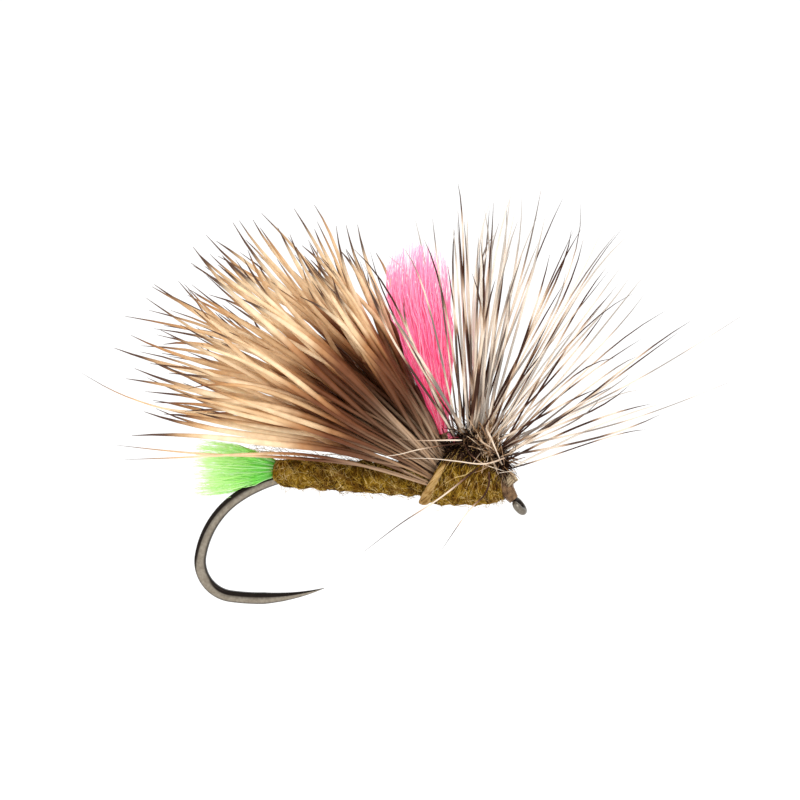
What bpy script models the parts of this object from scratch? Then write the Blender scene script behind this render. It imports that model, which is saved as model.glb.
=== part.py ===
"""A dry fly: a deer-hair caddis with a yarn sighter, built up from its separate materials.

Frame: the origin is the centre of the hook's eye, +X points forward past the eye, +Z is up and
+Y is the fly's left. Every length below is in millimetres, and add_solid turns it into metres.
"""

import math

import bmesh
import bpy
import numpy as np

METRES_PER_MM = 0.001
LEFT = np.array([0.0, 1.0, 0.0])
UP = np.array([0.0, 0.0, 1.0])

# Hook wire
SHANK_HEIGHT = 0.95          # shank's centre above the eye's centre
SHANK_RADIUS = 0.22
EYE_DROP = math.radians(50)  # how far the neck turns down to the eye
EYE_RING_RADIUS = 0.32       # to the middle of the eye's wire
EYE_WIRE_RADIUS = 0.15
EYE_GAP = math.radians(90)   # left open between the wire's free end and the neck
NECK_RADIUS = 0.5
FORGED_HALF_HEIGHT = 0.245
FORGED_HALF_WIDTH = 0.17
FORGED_SQUARENESS = 4.0
POINT_LENGTH = 1.8           # the taper to the needle point
POINT_RADIUS = 0.02
BEND_START = -8.72
BEND_ARCS = ((5.74, 36.6), (4.03, 43.5), (1.45, 94.6), (9.40, 25.4))  # radius, turn in degrees

# Layers on the shank: each clears the one inside it by FIT
FIT = 0.02
UNDERBODY_RADIUS = 0.262
UNDERBODY_ENDS = (-10.2, -1.08)
TAG_WRAP_ENDS = (-9.35, -9.0)
ABDOMEN_ENDS = (-10.2, -3.72)
ABDOMEN_RADII = (0.50, 0.64)
ABDOMEN_CAVITY = 0.44
DUBBING_PITCH = 0.62         # one turn of the fur noodle

# Tag
TAG_ROOT = -10.45
TAG_TIP = -13.7

# Wing: a fan of hair locks about one apex under the thorax
WING_APEX = np.array([-2.7, 0.0, 1.62])
WING_LIFTS = (175.0, 116.0)  # angles up from straight ahead: lowest hair, steepest hair
WING_ROWS = 5
WING_SWING = 24.0            # the fan's half-spread to each side, in degrees
WING_COLUMNS = 3
WING_ROOT = 0.85             # distance from the apex to the locks' roots
WING_REACH = (14.4, 9.7)     # lowest lock's length from the apex, steepest lock's length
WING_GAP = 3.0               # degrees left between neighbouring locks

# Hackle: a fan of barbs about one apex inside the wound stem
HACKLE_APEX = np.array([-1.6, 0.0, 2.1])
HACKLE_LIFTS = (12.0, 33.0, 54.0, 75.0, 96.0, 117.0)
HACKLE_REACH = (8.0, 10.4, 10.8, 11.0, 10.6)
HACKLE_COLUMNS = ((-38.0, -14.0), (-11.0, 11.0), (14.0, 38.0))
HACKLE_ROOT = 1.45
POST_ROW = 4                 # the post stands where this row's middle cluster would be
STRAY_BARBS = ((28.8, 12.5, 12.2), (19.6, -12.5, 11.5), (118.9, -12.5, 10.4))  # lift, swing, reach

# Sighter yarn: core under the hackle, then the post
YARN_RADIUS = 0.14
CORE_ROUTE = ((-0.45, 1.45), (-0.95, 2.17), (-1.65, 2.68), (-2.3, 2.8), (-2.75, 2.66))
POST_ROUTE = ((-3.03, 2.95), (-3.40, 4.5), (-4.05, 7.1), (-4.40, 10.0))
STEM_RADIUS = 0.055
STEM_COIL_RADIUS = 0.26
STEM_TURNS = 5


# --- meshes ---------------------------------------------------------------------------------

def clear_scene():
    for item in list(bpy.data.objects):
        bpy.data.objects.remove(item, do_unlink=True)


def make_material(name, colour, roughness, metallic=0.0):
    material = bpy.data.materials.new(name)
    material.use_nodes = True
    shader = material.node_tree.nodes["Principled BSDF"]
    shader.inputs["Base Color"].default_value = (*colour, 1.0)
    shader.inputs["Roughness"].default_value = roughness
    shader.inputs["Metallic"].default_value = metallic
    return material


def add_solid(name, shape, material):
    """Make one named object from (points in millimetres, faces), closed and facing outward."""
    points, faces = shape
    mesh = bpy.data.meshes.new(name)
    mesh.from_pydata((points * METRES_PER_MM).tolist(), [], faces)
    work = bmesh.new()
    work.from_mesh(mesh)
    bmesh.ops.recalc_face_normals(work, faces=work.faces)
    work.to_mesh(mesh)
    work.free()
    mesh.shade_smooth()
    mesh.set_sharp_from_angle(angle=math.radians(40))
    mesh.materials.append(material)
    item = bpy.data.objects.new(name, mesh)
    bpy.context.scene.collection.objects.link(item)
    return item


def unit(vectors):
    return vectors / np.linalg.norm(vectors, axis=-1, keepdims=True)


def ring_angles(sides):
    """Half a step round from zero, so that a squarish section has a flat on each side."""
    return 2 * math.pi * (np.arange(sides) + 0.5) / sides


def superellipse(sides, squareness=2.0):
    """Across and upward offsets of a unit section: round at squareness 2, squarer above."""
    turn = ring_angles(sides)
    power = 2.0 / squareness
    across = np.sign(np.cos(turn)) * np.abs(np.cos(turn)) ** power
    upward = np.sign(np.sin(turn)) * np.abs(np.sin(turn)) ** power
    return across[:, None], upward[:, None]


def strip(first, second, count):
    """Quads between two rings of points whose first indices are given."""
    quads = []
    for i in range(count):
        j = (i + 1) % count
        quads.append((first + i, first + j, second + j, second + i))
    return quads


def loft(rings):
    """Join a run of rings into one solid with a flat face at each end."""
    count = len(rings[0])
    faces = []
    for k in range(len(rings) - 1):
        faces += strip(k * count, (k + 1) * count, count)
    start = (len(rings) - 1) * count
    faces.append(tuple(range(count)))
    faces.append(tuple(range(start, start + count)))
    return np.vstack(rings), faces


def sleeve(outer, inner):
    """Join outer and inner runs of rings into a tube wall that is open at both ends."""
    count = len(outer[0])
    inner_start = len(outer) * count
    faces = []
    for k in range(len(outer) - 1):
        faces += strip(k * count, (k + 1) * count, count)
        faces += strip(inner_start + k * count, inner_start + (k + 1) * count, count)
    end = (len(outer) - 1) * count
    faces += strip(0, inner_start, count)
    faces += strip(end, inner_start + end, count)
    return np.vstack(list(outer) + list(inner)), faces


def upright_rings(stations, sides=16):
    """Rings across X. Each station is x, centre height, half width, half height, lean.

    lean is how far a ring's point moves forward for each millimetre above the centre.
    """
    across, upward = superellipse(sides)
    rings = []
    for x, height, half_width, half_height, lean in stations:
        rise = half_height * upward
        rings.append(np.array([x, 0, height]) + half_width * across * LEFT + rise * UP
                     + lean * rise * np.array([1.0, 0.0, 0.0]))
    return rings


def sweep(points, ups, half_across, half_up, sides, squareness):
    """Rings along a path. ups points toward each section's upper side."""
    tangents = unit(np.gradient(points, axis=0))
    ups = unit(ups - (ups * tangents).sum(axis=1, keepdims=True) * tangents)
    sideways = np.cross(ups, tangents)
    rings = []
    for k, centre in enumerate(points):
        across, upward = superellipse(sides, squareness[k])
        rings.append(centre + half_across[k] * across * sideways[k] + half_up[k] * upward * ups[k])
    return rings


def smooth_route(points, stations):
    """Read evenly spaced points from a Catmull-Rom curve through the route's own points."""
    points = np.asarray(points, dtype=float)
    padded = np.vstack([2 * points[0] - points[1], points, 2 * points[-1] - points[-2]])
    fine = []
    for k in range(len(points) - 1):
        a, b, c, d = padded[k:k + 4]
        t = np.linspace(0, 1, 24, endpoint=False)[:, None]
        fine.append(0.5 * (2 * b + (c - a) * t + (2 * a - 5 * b + 4 * c - d) * t ** 2
                           + (3 * b - a - 3 * c + d) * t ** 3))
    fine = np.vstack(fine + [points[-1:]])
    lengths = np.concatenate([[0], np.cumsum(np.linalg.norm(np.diff(fine, axis=0), axis=1))])
    wanted = np.linspace(0, lengths[-1], stations)
    return np.column_stack([np.interp(wanted, lengths, fine[:, i]) for i in range(3)])


def in_midplane(route):
    return [(x, 0.0, z) for x, z in route]


def hair(points, root, belly, tip, sides=5):
    """One hair or barb: a thin taper that is thickest a third of the way along."""
    along = np.linspace(0, 1, len(points))
    radius = np.interp(along, (0, 0.33, 0.75, 1), (root, belly, 0.7 * belly, tip))
    ups = np.tile(np.cross(unit(points[-1] - points[0]), LEFT), (len(points), 1))
    return loft(sweep(points, ups, radius, radius, sides, np.full(len(points), 2.0)))


def direction(lift, swing):
    """Unit vector lifted from straight ahead in the midplane, then swung to the left."""
    lift = np.radians(lift)
    swing = np.radians(swing)
    return np.stack([np.cos(lift) * np.cos(swing), np.sin(swing), np.sin(lift) * np.cos(swing)],
                    axis=-1)


def fan_cell(apex, lifts, swings, root, reach, sides=8):
    """A bundle of hair as a solid that widens from its root and closes to ragged tips."""
    across, upward = superellipse(sides, 3.0)
    mid_lift = (lifts[0] + lifts[1]) / 2
    mid_swing = (swings[0] + swings[1]) / 2
    rings = []
    for share, fullness in ((0.0, 0.8), (0.25, 0.95), (0.6, 1.0), (0.87, 0.85), (1.0, 0.3)):
        lift = mid_lift + fullness * (lifts[1] - lifts[0]) / 2 * upward[:, 0]
        swing = mid_swing + fullness * (swings[1] - swings[0]) / 2 * across[:, 0]
        rings.append(apex + (root + share * (reach - root)) * direction(lift, swing))
    return loft(rings)


# --- the hook --------------------------------------------------------------------------------

def shank_height(x):
    """Height of the wire's centre where the other materials are tied on."""
    radius = BEND_ARCS[0][0]
    past = np.maximum(BEND_START - np.asarray(x, dtype=float), 0)
    return SHANK_HEIGHT - radius + np.sqrt(radius ** 2 - past ** 2)


def trace(start, heading, runs, step=0.3):
    """Follow runs of (length, turn) in the midplane and return points and headings."""
    points = [np.array(start, dtype=float)]
    headings = [heading]
    for length, turn in runs:
        steps = max(1, round(length / step)) if turn else 1
        for _ in range(steps):
            middle = heading + turn / steps / 2
            points.append(points[-1] + length / steps * np.array([math.cos(middle), 0, math.sin(middle)]))
            heading += turn / steps
            headings.append(heading)
    return np.array(points), np.array(headings)


def eye_path():
    """The eye's ring from its free end round to the neck, and the ring plane's normal."""
    down_neck = np.array([math.cos(EYE_DROP), 0.0, -math.sin(EYE_DROP)])
    normal = np.array([math.sin(EYE_DROP), 0.0, math.cos(EYE_DROP)])
    half_turn = math.pi - EYE_GAP / 2
    angles = np.linspace(-half_turn, half_turn, 19)
    ring = EYE_RING_RADIUS * (np.cos(angles)[:, None] * down_neck + np.sin(angles)[:, None] * LEFT)
    # an easy curve brings the wire from the ring back to the midplane
    leaving = -math.sin(half_turn) * down_neck + math.cos(half_turn) * LEFT
    neck_foot = -0.62 * down_neck
    pull = 0.3
    t = np.linspace(0, 1, 6)[1:, None]
    ease = ((1 - t) ** 3 * ring[-1] + 3 * (1 - t) ** 2 * t * (ring[-1] + pull * leaving)
            + 3 * (1 - t) * t ** 2 * (neck_foot + pull * down_neck) + t ** 3 * neck_foot)
    return np.vstack([ring, ease]), normal


def hook_path():
    """Centres and upper directions of the whole wire, with the lengths where its section changes."""
    eye, normal = eye_path()
    foot = eye[-1]
    bend_rise = NECK_RADIUS * (1 - math.cos(EYE_DROP))
    neck_length = (SHANK_HEIGHT - bend_rise - foot[2]) / math.sin(EYE_DROP)
    shank_start = foot[0] - neck_length * math.cos(EYE_DROP) - NECK_RADIUS * math.sin(EYE_DROP)
    arcs = [(radius * math.radians(turn), math.radians(turn)) for radius, turn in BEND_ARCS]
    runs = [(neck_length, 0), (NECK_RADIUS * EYE_DROP, EYE_DROP), (shank_start - BEND_START, 0)] + arcs
    wire, headings = trace(foot, math.pi - EYE_DROP, runs)
    ups = np.column_stack([np.sin(headings), np.zeros(len(headings)), -np.cos(headings)])
    points = np.vstack([eye, wire[1:]])
    ups = np.vstack([np.tile(normal, (len(eye), 1)), ups[1:]])
    lengths = np.concatenate([[0], np.cumsum(np.linalg.norm(np.diff(points, axis=0), axis=1))])
    eye_end = lengths[len(eye) - 1]
    shank_end = lengths[-1] - sum(length for length, _ in arcs)
    return points, ups, lengths, eye_end, shank_end


def make_hook(material):
    points, ups, lengths, eye_end, shank_end = hook_path()
    end = lengths[-1]
    keys = (0, 0.2, eye_end, eye_end + 0.7, shank_end + 1.5, shank_end + 2.6, end - POINT_LENGTH, end)
    half_up = np.interp(lengths, keys, (0.11, EYE_WIRE_RADIUS, EYE_WIRE_RADIUS, SHANK_RADIUS, SHANK_RADIUS,
                                        FORGED_HALF_HEIGHT, FORGED_HALF_HEIGHT, POINT_RADIUS))
    half_across = np.interp(lengths, keys, (0.11, EYE_WIRE_RADIUS, EYE_WIRE_RADIUS, SHANK_RADIUS,
                                            SHANK_RADIUS, FORGED_HALF_WIDTH, FORGED_HALF_WIDTH,
                                            POINT_RADIUS))
    squareness = np.interp(lengths, keys, (2, 2, 2, 2, 2, FORGED_SQUARENESS, FORGED_SQUARENESS, 2))
    add_solid("hook", loft(sweep(points, ups, half_across, half_up, 12, squareness)), material)


# --- what is tied round the shank --------------------------------------------------------------

def make_underbody(material):
    inner = []
    outer = []
    for x in np.linspace(*UNDERBODY_ENDS, 9):
        height = float(shank_height(x))
        inner.append((x, height, SHANK_RADIUS + FIT, SHANK_RADIUS + FIT, 0))
        outer.append((x, height, UNDERBODY_RADIUS, UNDERBODY_RADIUS, 0))
    add_solid("thread_underbody", sleeve(upright_rings(outer), upright_rings(inner)), material)


def make_tag(yarn, thread):
    rear, front = TAG_WRAP_ENDS
    on_top = UNDERBODY_RADIUS + 0.043
    stations = []
    for x in np.linspace(front, UNDERBODY_ENDS[0], 5):
        stations.append((x, float(shank_height(x)) + on_top, 0.12, 0.03, 0))
    for share in (0.0, 0.15, 0.5, 0.85, 1.0):
        x = TAG_ROOT + share * (TAG_TIP - TAG_ROOT)
        flare = math.sin(share * math.pi / 2)
        stations.append((x, 1.14, 0.15 + 0.60 * flare, 0.13 + 0.85 * flare, 0))
    add_solid("tag_yarn", loft(upright_rings(stations, 12)), yarn)

    inner = []
    outer = []
    for x in (rear, front):
        height = float(shank_height(x))
        inner.append((x, height, 0.375, 0.375, 0))
        outer.append((x, height, 0.405, 0.405, 0))
    add_solid("tag_wraps", sleeve(upright_rings(outer), upright_rings(inner)), thread)


def make_abdomen(material):
    rear, front = ABDOMEN_ENDS
    inner = []
    outer = []
    for x in np.linspace(rear, front, 32):
        share = (x - rear) / (front - rear)
        height = np.interp(x, (rear, rear + 0.9), (0.90, SHANK_HEIGHT))
        round_over = min(1.0, 0.9 + 0.8 * min(x - rear, front - x))
        furrow = 1 + 0.03 * math.cos(2 * math.pi * (x - rear) / DUBBING_PITCH)
        radius = (ABDOMEN_RADII[0] + share * (ABDOMEN_RADII[1] - ABDOMEN_RADII[0])) * round_over * furrow
        inner.append((x, height, ABDOMEN_CAVITY, ABDOMEN_CAVITY, 0))
        outer.append((x, height, max(radius, ABDOMEN_CAVITY + 0.02), max(radius, ABDOMEN_CAVITY + 0.02), 0))
    add_solid("abdomen_dubbing", sleeve(upright_rings(outer), upright_rings(inner)), material)


def make_thorax(material, pale):
    """The collar's rear rim leans forward at the top, so the wing leaves it squarely."""
    stations = (                    # x, height, half width, half height, lean, wall
        (-3.65, 1.10, 0.95, 1.05, 0.55, 0.13),
        (-3.40, 1.12, 1.08, 1.17, 0.50, 0.30),
        (-2.90, 1.12, 1.12, 1.18, 0.38, 0.38),
        (-2.20, 1.03, 1.08, 1.10, 0.20, 0.48),
        (-1.50, 0.92, 0.95, 0.93, 0.10, 0.46),
        (-0.95, 0.85, 0.72, 0.72, 0.05, 0.34),
        (-0.72, 0.82, 0.52, 0.52, 0.00, 0.15),
    )
    outer = [station[:5] for station in stations]
    inner = [(x, height, width - wall, tall - wall, lean)
             for x, height, width, tall, lean, wall in stations]
    add_solid("thorax_dubbing", sleeve(upright_rings(outer), upright_rings(inner)), material)

    # the first turn of the noodle: a half ring under the abdomen's front, in the rim's own slope
    angles = np.radians(np.linspace(172, 368, 15))
    rise = 0.98 * np.sin(angles)
    points = np.column_stack([-3.82 + 0.55 * rise, 0.90 * np.cos(angles), 1.10 + rise])
    outward = np.column_stack([np.zeros(15), np.cos(angles), np.sin(angles)])
    thickness = 0.12 * np.interp(np.arange(15), (0, 3, 11, 14), (0.4, 1, 1, 0.4))
    turn = sweep(points, outward, thickness * 1.3, thickness, 8, np.full(15, 2.0))
    add_solid("thorax_rear_turn", loft(turn), pale)


# --- the wing -----------------------------------------------------------------------------------

def make_wing_base(hair_material, thread):
    butts = ((-3.42, 1.43, 0.26, 0.13, 0), (-3.1, 1.43, 0.30, 0.15, 0), (-2.6, 1.43, 0.33, 0.16, 0),
             (-2.25, 1.42, 0.38, 0.16, 0))
    add_solid("wing_butts", loft(upright_rings(butts, 12)), hair_material)
    outer = [(x, 1.17, 0.48, 0.58, 0) for x in (-3.3, -2.9)]
    inner = [(x, 1.17, 0.42, 0.52, 0) for x in (-3.3, -2.9)]
    add_solid("wing_wraps", sleeve(upright_rings(outer), upright_rings(inner)), thread)


def make_wing(material):
    """Rows of locks from low at the rear to steep at the front, three locks to a row."""
    lifts = np.linspace(*WING_LIFTS, WING_ROWS + 1)
    swings = np.linspace(-WING_SWING, WING_SWING, WING_COLUMNS + 1)
    half_gap = WING_GAP / 2
    number = 0
    for row in range(WING_ROWS):
        share = (row / (WING_ROWS - 1)) ** 1.6
        reach = WING_REACH[0] + share * (WING_REACH[1] - WING_REACH[0])
        low_high = (lifts[row] - 0.6, lifts[row + 1] + 0.6)
        for column in range(WING_COLUMNS):
            number += 1
            left_right = (swings[column] + half_gap, swings[column + 1] - half_gap)
            shape = fan_cell(WING_APEX, low_high, left_right, WING_ROOT, reach)
            add_solid(f"wing_lock_{number:02d}", shape, material)


def make_stray_hairs(material):
    """Two hairs that lie low along the near side, and the longest hair of the wing."""
    low = ((-3.6, -1.04, 1.52), (-7.7, -1.6, 1.78), (-13.1, -2.3, 2.0), (-16.6, -2.8, 2.35))
    lower = ((-3.6, -1.12, 1.25), (-7.7, -1.8, 1.56), (-12.2, -2.5, 1.74), (-16.2, -3.2, 1.85))
    between_columns = -WING_SWING / WING_COLUMNS
    longest = WING_APEX + np.linspace(2.4, 16.0, 9)[:, None] * direction(166.6, between_columns)
    add_solid("wing_stray_hair_1", hair(smooth_route(low, 9), 0.05, 0.10, 0.02), material)
    add_solid("wing_stray_hair_2", hair(smooth_route(lower, 9), 0.05, 0.10, 0.02), material)
    add_solid("wing_stray_hair_3", hair(longest, 0.04, 0.10, 0.02), material)


# --- sighter and hackle ---------------------------------------------------------------------------

def yarn_path():
    """The yarn's centre line: core from the head back over the thorax, then up the post."""
    return smooth_route(in_midplane(CORE_ROUTE + POST_ROUTE), 34)


def make_sighter(yarn, thread):
    points = yarn_path()
    heights = points[:, 2]
    past_bend = points[:, 0] < POST_ROUTE[0][0]
    post_share = np.where(past_bend, (heights - POST_ROUTE[0][1]) / (POST_ROUTE[-1][1] - POST_ROUTE[0][1]), 0)
    half_across = np.interp(post_share, (0, 0.25, 0.6, 1), (YARN_RADIUS, 0.35, 0.65, 0.80))
    half_up = np.interp(post_share, (0, 0.25, 0.6, 0.9, 1), (YARN_RADIUS, 0.50, 1.05, 1.20, 1.05))
    ups = np.cross(unit(np.gradient(points, axis=0)), LEFT)
    rings = sweep(points, ups, half_across, half_up, 12, np.full(len(points), 2.4))
    add_solid("sighter_yarn", loft(rings), yarn)

    axis = unit(np.array(POST_ROUTE[1]) - np.array(POST_ROUTE[0]))
    post_axis = np.array([axis[0], 0, axis[1]])
    foot = np.array([POST_ROUTE[0][0], 0, POST_ROUTE[0][1]]) + 0.02 * post_axis
    centres = foot + np.array([[0.0], [0.12]]) * post_axis
    ups = np.tile(np.cross(post_axis, LEFT), (2, 1))
    wide = np.full(2, 0.31)
    narrow = np.full(2, 0.25)
    round_section = np.full(2, 2.0)
    collar = sleeve(sweep(centres, ups, wide, wide, 16, round_section),
                    sweep(centres, ups, narrow, narrow, 16, round_section))
    add_solid("sighter_wraps", collar, thread)


def make_stem(quill, pale_quill):
    """The feather's stem wound on the yarn core, and its trimmed butt at the head."""
    core = smooth_route(in_midplane(CORE_ROUTE[1:4]), 61)
    tangents = unit(np.gradient(core, axis=0))
    outward = np.cross(tangents, LEFT)
    angles = np.linspace(0, 2 * math.pi * STEM_TURNS, len(core))[:, None]
    radial = np.cos(angles) * outward + np.sin(angles) * LEFT
    points = core + STEM_COIL_RADIUS * radial
    thick = np.full(len(points), STEM_RADIUS)
    rings = sweep(points, radial, thick, thick, 6, np.full(len(points), 2.0))
    add_solid("hackle_stem", loft(rings), quill)

    route = smooth_route(((-0.56, 0.0, 1.17), (-0.36, 0.0, 1.12), (-0.14, 0.0, 0.99)), 5)
    ups = np.tile(UP, (5, 1))
    butt = sweep(route, ups, np.full(5, 0.16), np.full(5, 0.08), 8, np.full(5, 3.0))
    add_solid("hackle_stem_butt", loft(butt), pale_quill)


def make_hackle(material):
    number = 0
    for row, reach in enumerate(HACKLE_REACH):
        low_high = (HACKLE_LIFTS[row] + 0.6, HACKLE_LIFTS[row + 1] - 0.6)
        for column, left_right in enumerate(HACKLE_COLUMNS):
            if row == POST_ROW and column == 1:
                continue
            number += 1
            shape = fan_cell(HACKLE_APEX, low_high, left_right, HACKLE_ROOT, reach)
            add_solid(f"hackle_barbs_{number:02d}", shape, material)


def make_single_barbs(material):
    """Three barbs that reach past the fan, and two that hang down the near side like legs."""
    for number, (lift, swing, reach) in enumerate(STRAY_BARBS, start=1):
        points = HACKLE_APEX + np.linspace(HACKLE_ROOT + 0.3, reach, 7)[:, None] * direction(lift, swing)
        add_solid(f"hackle_stray_barb_{number}", hair(points, 0.025, 0.045, 0.012), material)
    rear_leg = ((-1.33, -1.02, 1.78), (-1.99, -1.30, 1.32), (-2.64, -1.42, 0.8), (-4.43, -1.9, -0.51),
                (-6.23, -2.4, -1.8))
    front_leg = ((-0.9, -0.95, 1.44), (-1.03, -1.18, 0.84), (-1.58, -1.40, 0.22), (-2.85, -2.2, -1.61))
    add_solid("leg_barb_rear", hair(smooth_route(rear_leg, 12), 0.03, 0.05, 0.012), material)
    add_solid("leg_barb_front", hair(smooth_route(front_leg, 10), 0.03, 0.05, 0.012), material)


def make_head(material):
    """A short cone of thread on the neck, between the thorax and the eye."""
    down_neck = np.array([math.cos(EYE_DROP), 0.0, -math.sin(EYE_DROP)])
    shares = np.linspace(0, 1, 5)
    centres = down_neck * (-0.93 + 0.36 * shares)[:, None]
    ups = np.tile(np.cross(LEFT, down_neck), (5, 1))
    outer = np.interp(shares, (0, 0.3, 1), (0.28, 0.31, 0.245))
    inner = np.interp(shares, (0, 1), (0.235, 0.215))
    round_section = np.full(5, 2.0)
    shape = sleeve(sweep(centres, ups, outer, outer, 16, round_section),
                   sweep(centres, ups, inner, inner, 16, round_section))
    add_solid("head_wraps", shape, material)


def main():
    clear_scene()
    steel = make_material("black_nickel", (0.20, 0.18, 0.16), 0.35, 0.9)
    thread = make_material("thread", (0.24, 0.15, 0.07), 0.6)
    tag = make_material("green_yarn", (0.30, 0.72, 0.16), 0.7)
    dubbing = make_material("olive_dubbing", (0.17, 0.11, 0.02), 0.95)
    pale_dubbing = make_material("tan_dubbing", (0.36, 0.24, 0.10), 0.95)
    deer_hair = make_material("deer_hair", (0.45, 0.28, 0.15), 0.6)
    pink = make_material("pink_yarn", (0.93, 0.10, 0.28), 0.7)
    quill = make_material("dark_quill", (0.05, 0.03, 0.02), 0.5)
    pale_quill = make_material("pale_quill", (0.40, 0.34, 0.22), 0.5)
    grizzly = make_material("grizzly_barb", (0.50, 0.43, 0.36), 0.6)

    make_hook(steel)
    make_underbody(thread)
    make_tag(tag, thread)
    make_abdomen(dubbing)
    make_wing_base(deer_hair, thread)
    make_wing(deer_hair)
    make_stray_hairs(deer_hair)
    make_thorax(dubbing, pale_dubbing)
    make_sighter(pink, thread)
    make_stem(quill, pale_quill)
    make_hackle(grizzly)
    make_single_barbs(grizzly)
    make_head(thread)


main()
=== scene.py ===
import math

import bpy
import numpy as np
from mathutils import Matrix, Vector
from numpy.random import default_rng


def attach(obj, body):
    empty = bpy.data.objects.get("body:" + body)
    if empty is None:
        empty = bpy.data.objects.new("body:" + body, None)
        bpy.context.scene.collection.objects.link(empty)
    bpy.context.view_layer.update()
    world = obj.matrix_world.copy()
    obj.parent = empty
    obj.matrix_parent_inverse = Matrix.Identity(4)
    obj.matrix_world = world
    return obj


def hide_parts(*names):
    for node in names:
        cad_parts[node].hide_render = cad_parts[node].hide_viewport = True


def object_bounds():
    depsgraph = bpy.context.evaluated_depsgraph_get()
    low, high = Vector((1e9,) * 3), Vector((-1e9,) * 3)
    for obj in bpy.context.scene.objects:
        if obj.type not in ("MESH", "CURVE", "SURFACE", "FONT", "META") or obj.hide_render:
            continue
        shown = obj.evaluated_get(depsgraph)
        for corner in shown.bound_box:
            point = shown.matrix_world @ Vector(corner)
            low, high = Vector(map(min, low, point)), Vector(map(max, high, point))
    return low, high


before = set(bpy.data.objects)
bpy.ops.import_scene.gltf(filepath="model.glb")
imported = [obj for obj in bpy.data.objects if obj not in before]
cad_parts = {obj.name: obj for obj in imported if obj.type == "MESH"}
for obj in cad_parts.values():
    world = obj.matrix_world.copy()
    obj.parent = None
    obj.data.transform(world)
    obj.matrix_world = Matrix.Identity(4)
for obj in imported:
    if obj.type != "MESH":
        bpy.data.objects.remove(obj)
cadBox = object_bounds()
scene = bpy.context.scene

mm = 0.001                          # every length below is in millimetres
left = np.array([0.0, 1.0, 0.0])    # the fly's left
ahead = np.array([1.0, 0.0, 0.0])
up = np.array([0.0, 0.0, 1.0])


# the fly is seen turned a little toward its head, from a little above
view = dict(azimuth=12.0, elevation=9.5, distance=166.7, lens=180.0, aim=(-4.98, -0.32, 4.34))
studio = dict(floorDrop=22.0, floorHalf=4000.0, sky=1.04, keyPower=1.05, fillPower=0.22, reach=420.0)


def makeCamera():
    around = math.radians(view["azimuth"])
    above = math.radians(view["elevation"])
    level = math.cos(above)
    back = Vector((math.sin(around) * level, -math.cos(around) * level, math.sin(above)))   # aim to camera
    lens = bpy.data.cameras.new("viewCamera")
    lens.lens = view["lens"]
    lens.sensor_width = 36.0
    lens.clip_start = 0.005
    lens.clip_end = 20.0
    camera = bpy.data.objects.new("viewCamera", lens)
    camera.location = (Vector(view["aim"]) + back * view["distance"]) * mm
    camera.rotation_euler = back.to_track_quat("Z", "Y").to_euler()
    scene.collection.objects.link(camera)
    scene.camera = camera


def makeLight(name, place, size, power):
    lamp = bpy.data.lights.new(name, "AREA")
    lamp.shape = "DISK"
    lamp.size = size * mm
    lamp.energy = power
    light = bpy.data.objects.new(name, lamp)
    light.location = Vector(place) * mm
    light.rotation_euler = (Vector(place) - Vector(view["aim"])).to_track_quat("Z", "Y").to_euler()
    scene.collection.objects.link(light)


def makeStudio():
    scene.view_settings.view_transform = "Standard"
    world = bpy.data.worlds.new("paleRoom")
    world.use_nodes = True
    sky = world.node_tree.nodes["Background"].inputs
    sky["Color"].default_value = (1.0, 1.0, 1.0, 1.0)
    sky["Strength"].default_value = studio["sky"]
    scene.world = world
    reach = studio["reach"]
    makeLight("keyLight", (0.35 * reach, -0.75 * reach, 0.75 * reach), 0.8 * reach, studio["keyPower"])
    makeLight("fillLight", (-0.8 * reach, -0.4 * reach, 0.35 * reach), 0.8 * reach, studio["fillPower"])
    half = studio["floorHalf"]
    level = cadBox[0].z / mm - studio["floorDrop"]
    corners = np.array([(x * half, y * half, level) for x, y in ((-1, -1), (1, -1), (1, 1), (-1, 1))])
    floor = putMesh("paleFloor", corners, [np.array([[0, 1, 2, 3]])])
    paint = Finish("palePaint", roughness=0.8)
    paint.shader.inputs["Base Color"].default_value = (0.97, 0.97, 0.97, 1.0)
    floor.data.materials.append(paint.material)


# points in millimetres, faces as arrays of equal-sided groups, traits as one value per point
def putMesh(name, points, groups, traits=None):
    mesh = bpy.data.meshes.new(name)
    mesh.vertices.add(len(points))
    mesh.vertices.foreach_set("co", (points * mm).astype(np.float32).ravel())
    corners = np.concatenate([group.ravel() for group in groups])
    sizes = np.concatenate([np.full(len(group), group.shape[1]) for group in groups])
    starts = np.concatenate([[0], np.cumsum(sizes)[:-1]])
    mesh.loops.add(len(corners))
    mesh.loops.foreach_set("vertex_index", corners.astype(np.int32))
    mesh.polygons.add(len(sizes))
    mesh.polygons.foreach_set("loop_start", starts.astype(np.int32))
    mesh.polygons.foreach_set("use_smooth", np.ones(len(sizes), dtype=bool))
    for trait, values in (traits or {}).items():
        mesh.attributes.new(trait, "FLOAT", "POINT").data.foreach_set("value", values.astype(np.float32))
    mesh.update(calc_edges=True)
    mesh.validate()
    piece = bpy.data.objects.new(name, mesh)
    scene.collection.objects.link(piece)
    return piece


def evenly(count):
    return np.linspace(0, 1, count)


def unit(vectors):
    return vectors / np.maximum(np.linalg.norm(vectors, axis=-1, keepdims=True), 1e-9)


# a direction lifted from straight ahead in the midplane, then swung to the left, in degrees
def aim(lift, swing):
    lift = np.radians(lift)
    swing = np.radians(swing)
    return np.stack([np.cos(lift) * np.cos(swing), np.sin(swing) + 0 * lift, np.sin(lift) * np.cos(swing)],
                    axis=-1)


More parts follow.
